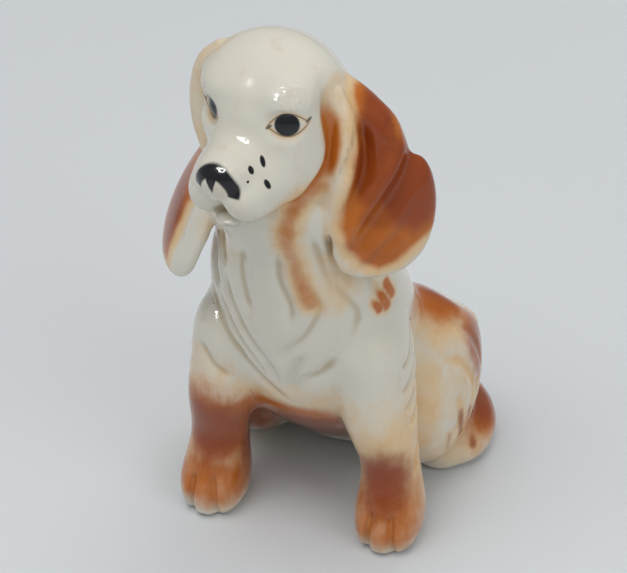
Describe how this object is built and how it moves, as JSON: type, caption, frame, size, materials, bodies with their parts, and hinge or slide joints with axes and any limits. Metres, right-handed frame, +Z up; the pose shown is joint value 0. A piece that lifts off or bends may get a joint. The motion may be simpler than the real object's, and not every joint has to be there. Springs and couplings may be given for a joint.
{
  "type": "seated dog figurine",
  "caption": "Glazed ceramic figurine of a seated long-eared spaniel with its head turned, standing free on its paws and rump as a shelf ornament.",
  "frame": {"origin": "the point on the floor under the middle of the figure's bounding box", "axes": "+Z up from the floor, -Y the way the dog's chest faces, +X towards the dog's left; the head is turned a little towards -X"},
  "size_m": [0.0511, 0.0702, 0.0951],
  "materials": {
    "torso": "high gloss, hand-painted under clear glaze",
    "head": "high gloss, hand-painted under clear glaze",
    "left_ear": "high gloss, hand-painted under clear glaze",
    "right_ear": "high gloss, hand-painted under clear glaze",
    "left_foreleg": "high gloss, hand-painted under clear glaze",
    "right_foreleg": "high gloss, hand-painted under clear glaze",
    "left_haunch": "high gloss, hand-painted under clear glaze",
    "right_haunch": "high gloss, hand-painted under clear glaze",
    "left_hind_foot": "high gloss, hand-painted under clear glaze",
    "right_hind_foot": "high gloss, hand-painted under clear glaze",
    "tail": "high gloss, hand-painted under clear glaze"
  },
  "bodies": {
    "root": {"torso": "torso", "head": "head", "left_ear": "left_ear", "right_ear": "right_ear", "left_foreleg": "left_foreleg", "right_foreleg": "right_foreleg", "left_haunch": "left_haunch", "right_haunch": "right_haunch", "left_hind_foot": "left_hind_foot", "right_hind_foot": "right_hind_foot", "tail": "tail"}
  },
  "joints": []
}
